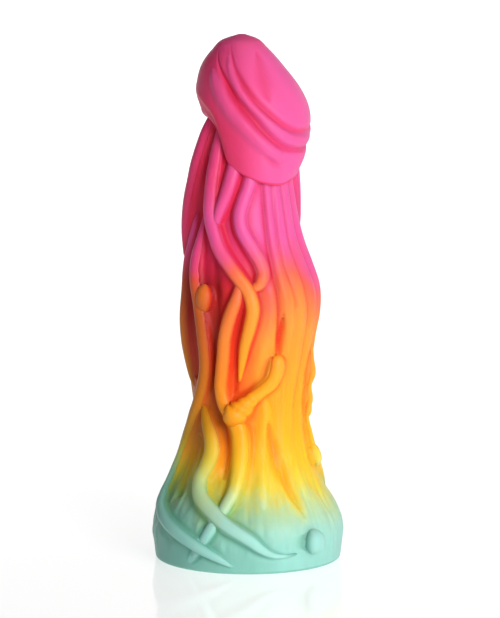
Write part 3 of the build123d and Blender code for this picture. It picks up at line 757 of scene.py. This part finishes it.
# Folds on the cap as seen from the front: x, z and half width along each, then how each runs on round the
# side: turn, level and half width past the last point
CAP_FOLDS = {
    "cap_lower_fold": ([
        (-14, 200, 0.8), (-13.4, 196, 2.4), (-10.4, 189.6, 3.6), (-5.8, 183.4, 4.1), (-0.2, 177.2, 4.2),
        (5.8, 171.3, 3.8), (11.4, 165.9, 2.9), (14.6, 162.4, 1.3),
    ], []),
    "cap_upper_fold": ([
        (-7.6, 205, 0.8), (-6.2, 197.4, 1.7), (-1.4, 189.6, 2.2), (5.6, 182, 2.5), (10.7, 176.8, 2.6),
        (15.6, 172.6, 2.6), (19.5, 171, 2.4),
    ], [(18, -0.08, 2.3), (36, -0.16, 2), (54, 0, 1.4), (70, 0.2, 0.6)]),
}
FOLD_HEIGHT = 0.34  # how high a fold stands, over its half width
# The fold behind: angle, level and half width
REAR_FOLD = [
    (108, 3.4, 0.9), (122, 2.8, 1.8), (138, 2.2, 2.2), (156, 1.8, 2.4), (176, 1.7, 2.4), (196, 2, 2.2),
    (214, 2.6, 1.8), (230, 3.4, 0.9),
]
# Creases pressed into the cap: depth, places as seen from the front, and how each runs on round the side
CAP_CREASES = [
    (2.0, [(-11.8, 206, 0.1), (-9.4, 196.4, 0.9), (-4.8, 187.8, 1.7), (1.4, 180.8, 1.8), (7.4, 174.2, 1.5),
           (13.4, 169.4, 1.3), (18.4, 167.6, 1.1)], [(16, -0.15, 1.1), (34, -0.3, 1), (50, -0.34, 0.6)]),
    (1.1, [(-6.8, 209, 0.1), (-4.8, 199.4, 0.8), (-0.4, 191.6, 1.4), (6, 184.6, 1.4), (12.6, 178.8, 1.3),
           (17.6, 175.6, 1.2)], [(20, -0.1, 1.2), (44, -0.2, 1), (62, -0.1, 0.5)]),
    (0.5, [(4.5, 167.4, 0.2), (9.6, 163.4, 1.2), (14, 160, 0.2)], []),
    (0.6, [(2.8, 207.5, 0.1), (3.8, 204, 1.5), (5.2, 199, 3), (6.5, 193, 3), (8.6, 186, 0.2)], []),
]
# Where the dome steps up from the rest of the cap, as seen from the front: height, x
DOME_EDGE = curves([
    (150, 40), (168, 30), (172, 26), (175, 20), (178, 14.6), (182, 9.4), (188, 2.6), (194, -2.6), (200, -5.4),
    (206, -7), (212, -7.4),
])
DOME_STEP = 0.8
CAP_POUR = 190.0  # the cap is all one pour, the one at this height
CAP_CLOSE = 7.97  # the level of the last ring round the crown
BRIM_IN, BRIM_DOWN = 2.4, 2.2  # the size of the brim's rounding


def cap_point(angle, level):
    """Points on the bare cap."""
    angle, level = np.broadcast_arrays(np.asarray(angle, float), np.asarray(level, float))
    row = cap_row(level)
    turned = np.radians(angle)
    right = row[..., 5] * np.sin(turned)
    front = row[..., 6] * np.cos(turned)
    tilt, lean = np.radians(row[..., 3]), np.radians(row[..., 4])
    x = row[..., 0] + right * np.cos(tilt)
    y = row[..., 1] - front * np.cos(lean)
    z = row[..., 2] - right * np.sin(tilt) - front * np.sin(lean)
    z = z + BRIM_HANG(half_turn(angle))[..., 0] * (1 - swell(level, 0, 3))
    return np.stack([x, y, z], axis=-1)


def cap_normal(angle, level):
    """Outward normals of the bare cap."""
    around = cap_point(np.asarray(angle) + 0.6, level) - cap_point(np.asarray(angle) - 0.6, level)
    low, high = np.clip(np.asarray(level) - 0.05, 0, 8), np.clip(np.asarray(level) + 0.05, 0, 8)
    return unit(np.cross(around, cap_point(angle, high) - cap_point(angle, low)))


def seen_from_front(rows, runs_on):
    """Places on the cap as angle and level, from their x and z on its front and from how the line runs on."""
    angle, level = np.meshgrid(np.linspace(-100, 100, 401), np.linspace(0, 7.6, 381))
    points = cap_point(angle, level)
    found = []
    for x, z, half in rows:
        best = np.hypot(points[..., 0] - x, points[..., 2] - z).argmin()
        found.append((angle.flat[best], level.flat[best], half))
    last_angle, last_level, _ = found[-1]
    return found + [(last_angle + turn, last_level + rise, half) for turn, rise, half in runs_on]


folds = {
    name: Route(seen_from_front(*rows), surface=cap_point, round_ends=4) for name, rows in CAP_FOLDS.items()
}
folds["cap_rear_fold"] = Route(REAR_FOLD, surface=cap_point, round_ends=4)
creases = [
    (depth, Route(seen_from_front(*rows), surface=cap_point, round_ends=4)) for depth, *rows in CAP_CREASES
]


def cap_surface(angle, level):
    """Points on the sculpted cap and its attributes."""
    points, normal = cap_point(angle, level), cap_normal(angle, level)
    beyond_edge = points[..., 0] - DOME_EDGE(points[..., 2])[..., 0]
    soft = swell(points[..., 1], -2, 10)
    rise = DOME_STEP * swell(beyond_edge, -1.6 - 5 * soft, 3.4 + 5 * soft)
    rise = rise * swell(level, 0.6, 1.6) * (1 - 0.7 * swell(level, 5.5, 7.4))
    # Painted shade on the cap's left side, evened out towards the crown
    proud = side_light(angle, CAP_POUR) - 0.05
    proud = proud + (0.6 - proud) * swell(level, 5, 7.4)
    bulge = np.zeros(points.shape[:-1])
    # Painted light along the crest of each fold
    for route in folds.values():
        distance, half = route.nearest(points)
        crest = np.clip(1 - (distance / half / 1.3) ** 2, 0, 1) ** 2
        bulge = np.maximum(bulge, FOLD_HEIGHT * half * crest)
        proud = proud + (0.9 - proud) * 0.5 * crest
    # Painted shade in each crease
    for depth, route in creases:
        distance, half = route.nearest(points)
        dent = np.exp(-((distance / np.maximum(half, 0.3)) ** 2)) * np.clip(half / 1.3, 0, 1)
        rise = rise - depth * dent
        proud = proud - 0.6 * min(depth, 1) * dent
    turned = half_turn(angle)
    # Painted shade on the lower front and left of the cap
    lower_left = hump(-turned, -20, 20, 60, 100) * (1 - swell(level, 1.4, 3.4))
    proud = proud - 0.25 * lower_left
    corner = 1.6 * np.exp(-(((turned + 88) / 26) ** 2)) * (1 - swell(level, 0.2, 2.4))
    rise = rise + bulge + corner
    rise = rise + ripple(angle, level * 8, 9, 9, 8) * 0.25 * hump(level, 0.3, 1, 6, 7.5)
    pour = np.full(points.shape[:-1], CAP_POUR)
    return points + normal * rise[..., None], {"pour": pour, "proud": np.clip(proud, 0, 1)}


def make_cap():
    """The tilted cap, whose brim rolls under."""
    turn = np.arange(CAP_TURN) * 360 / CAP_TURN
    angle, level = np.meshgrid(turn, np.linspace(0, CAP_CLOSE, CAP_RISE))
    skin_grid, attributes = cap_surface(angle, level)
    # The brim's rounding, then a flat run in to the neck
    inward = unit(np.array([-0.8, 0, 172]) - skin_grid[0])
    rolled = []
    for bend in np.radians([15, 35, 55, 75, 95]):
        under = np.array([0, 0, -BRIM_DOWN * sin(bend)])
        rolled.append(skin_grid[0] + inward * BRIM_IN * (1 - cos(bend)) + under)
    for share in (0.3, 0.6):
        rolled.append(rolled[4] + inward * 24 * share + np.array([0, 0, 3.0]) * share)
    grid = np.concatenate([np.array(rolled[::-1]), skin_grid])
    # The brim's rolled underside takes painted shade
    extra = np.ones((len(rolled), CAP_TURN))
    attributes = {
        "pour": np.concatenate([extra * CAP_POUR, attributes["pour"]]),
        "proud": np.concatenate([extra * 0.3, attributes["proud"]]),
    }
    ends = [(-0.8, 0, 174), cap_point(0, 8) + np.array([0, 0, 0.1])]
    mesh_piece("cap_skin", grid, ends, attributes, "cap", CAP_SILICONE)


make_column()
make_foot()
make_cap()
for name, (route, kind) in strands.items():
    if kind is FLAT:
        make_overlay(name, route, skin, sculpted_skin, SKIN_SILICONE)
    else:
        make_strand(name, route, kind)
for name, route in folds.items():
    make_overlay(name, route, cap_point, cap_surface, CAP_SILICONE)


def make_floor():
    """A wide, pale, slightly glossy floor that fills the view behind the object."""
    half = 30.0
    mesh = bpy.data.meshes.new("floor")
    corners = [(-half, -half, 0), (half, -half, 0), (half, half, 0), (-half, half, 0)]
    mesh.from_pydata(corners, [], [(0, 1, 2, 3)])
    floor = add_object("floor", mesh)
    material = bpy.data.materials.new("floor_acrylic")
    material.use_nodes = True
    shader = material.node_tree.nodes["Principled BSDF"]
    shader.inputs["Base Color"].default_value = (0.45, 0.45, 0.45, 1)
    shader.inputs["Roughness"].default_value = 0.1
    shader.inputs["Specular IOR Level"].default_value = 0.5
    shader.inputs["Emission Color"].default_value = (1, 1, 1, 1)
    shader.inputs["Emission Strength"].default_value = 0.62
    mesh.materials.append(material)


def facing(direction):
    """The rotation that turns -Z along a direction."""
    return Vector(direction).to_track_quat("-Z", "Y").to_euler()


def make_light(name, place, aim, size, power):
    """A rectangular soft light."""
    data = bpy.data.lights.new(name, "AREA")
    data.shape = "RECTANGLE"
    data.size, data.size_y = size
    data.energy = power
    light = add_object(name, data)
    light.location = place
    light.rotation_euler = facing(np.array(aim) - np.array(place))


def make_camera():
    """The camera: two metres away, a little above, with a long lens."""
    distance, elevation = 2.0, radians(9.4)
    aim = np.array([0.0008, 0, 0.1011])
    data = bpy.data.cameras.new("camera")
    data.sensor_fit = "VERTICAL"
    data.sensor_height = 36
    data.lens = 289.7
    data.clip_end = 100
    camera = add_object("camera", data)
    camera.location = aim + distance * np.array([0, -cos(elevation), sin(elevation)])
    camera.rotation_euler = facing(aim - np.array(camera.location))
    bpy.context.scene.camera = camera


def make_world():
    """A pale surround, dimmer on the left."""
    world = bpy.data.worlds.new("studio")
    bpy.context.scene.world = world
    world.use_nodes = True
    tree = world.node_tree
    background = tree.nodes["Background"]
    separate = tree.nodes.new("ShaderNodeSeparateXYZ")
    tree.links.new(tree.nodes.new("ShaderNodeTexCoord").outputs["Generated"], separate.inputs[0])
    background.inputs["Color"].default_value = (1, 1, 1, 1)
    sideways = maths(tree, "MULTIPLY_ADD", separate.outputs["X"], 0.13, 0.15)
    # A bright band just above the horizon behind the object, which the floor mirrors
    climb = maths(tree, "ABSOLUTE", maths(tree, "SUBTRACT", separate.outputs["Z"], 0.13))
    band = maths(tree, "MAXIMUM", maths(tree, "SUBTRACT", 1.0, maths(tree, "MULTIPLY", climb, 7.0)), 0.0)
    behind = maths(tree, "MULTIPLY", band, maths(tree, "MAXIMUM", separate.outputs["Y"], 0.0))
    bright = maths(tree, "MULTIPLY_ADD", behind, 1.4, sideways)
    tree.links.new(bright, background.inputs["Strength"])


make_floor()
make_world()
make_light("key", (0.54, -1.08, 0.42), (0, 0, 0.11), (0.6, 0.8), 14.5)
make_light("top", (0.3, 0.1, 1.2), (0, 0, 0), (1.0, 1.0), 2)
make_camera()
bpy.context.scene.view_settings.view_transform = "Standard"
